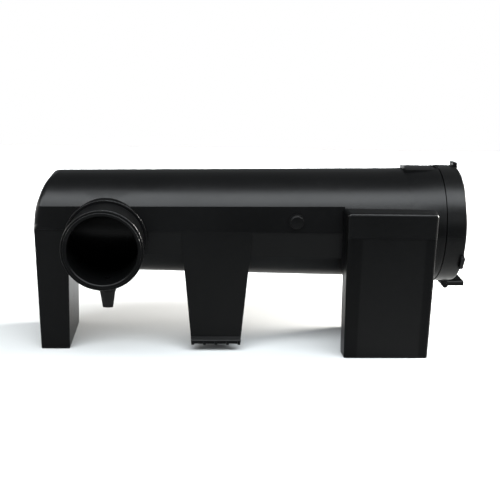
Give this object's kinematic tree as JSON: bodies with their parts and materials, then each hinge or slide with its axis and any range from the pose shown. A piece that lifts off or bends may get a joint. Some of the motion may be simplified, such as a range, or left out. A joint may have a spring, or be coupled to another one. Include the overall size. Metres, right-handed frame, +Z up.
{
  "type": "canister air filter",
  "caption": "Horizontal canister air filter with a flat-fronted housing, round side inlet, outlet leg, plate leg, resonator box and a lug-grip end cover over nested elements.",
  "frame": {"origin": "middle of the whole object's box in X and Y, at the level that it stands on", "axes": "+X along the canister's axis towards the service cover, -Y out of the inlet port, +Z up"},
  "size_m": [0.5322, 0.1806, 0.2258],
  "materials": {
    "housing_plastic": "satin moulded black polypropylene",
    "base_plastic": "satin moulded black polypropylene",
    "insert_brass": "machined",
    "partition_plastic": "satin moulded black",
    "shield_plastic": "satin moulded black",
    "valve_rubber": "matt black rubber",
    "plug_plastic": "semi-gloss black",
    "washer_rubber": "matt black rubber",
    "cover_plastic": "satin moulded black polypropylene",
    "seal_rubber": "matt black rubber",
    "lock_plastic": "satin moulded black",
    "primary_paper": "pleated resin-treated paper",
    "guard_steel": "expanded galvanised mesh",
    "inner_steel": "perforated galvanised sheet",
    "open_cap_urethane": "soft moulded urethane",
    "closed_cap_urethane": "soft moulded urethane",
    "safety_fleece": "needled fleece",
    "core_steel": "perforated galvanised sheet",
    "safety_open_urethane": "soft moulded urethane",
    "safety_closed_urethane": "soft moulded urethane"
  },
  "bodies": {
    "housing": {"housing": "housing_plastic", "resonator_base": "base_plastic", "mount_inserts": "insert_brass", "outlet_partition": "partition_plastic", "inlet_shield": "shield_plastic", "drain_valve": "valve_rubber", "blanking_plug": "plug_plastic", "plug_washer": "washer_rubber"},
    "cover": {"cover": "cover_plastic", "cover_seal": "seal_rubber"},
    "lock": {"lock_slider": "lock_plastic"},
    "primary_element": {"primary_media": "primary_paper", "primary_outer_liner": "guard_steel", "primary_inner_liner": "inner_steel", "primary_open_cap": "open_cap_urethane", "primary_closed_cap": "closed_cap_urethane"},
    "safety_element": {"safety_media": "safety_fleece", "safety_core": "core_steel", "safety_open_cap": "safety_open_urethane", "safety_closed_cap": "safety_closed_urethane"}
  },
  "joints": [
    {"name": "cover_slide", "type": "slide", "parent": "housing", "child": "cover", "axis": [1, 0, 0], "range_m": [0, 0.6]},
    {"name": "lock_slide", "type": "slide", "parent": "cover", "child": "lock", "axis": [1, 0, 0], "range_m": [0, 0.009]},
    {"name": "primary_slide", "type": "slide", "parent": "housing", "child": "primary_element", "axis": [1, 0, 0], "range_m": [0, 0.45]},
    {"name": "safety_slide", "type": "slide", "parent": "housing", "child": "safety_element", "axis": [1, 0, 0], "range_m": [0, 0.18]}
  ],
  "couplings": [
    {"joint": "primary_slide", "follows": "cover_slide", "ratio": 0.75},
    {"joint": "safety_slide", "follows": "cover_slide", "ratio": 0.3}
  ]
}
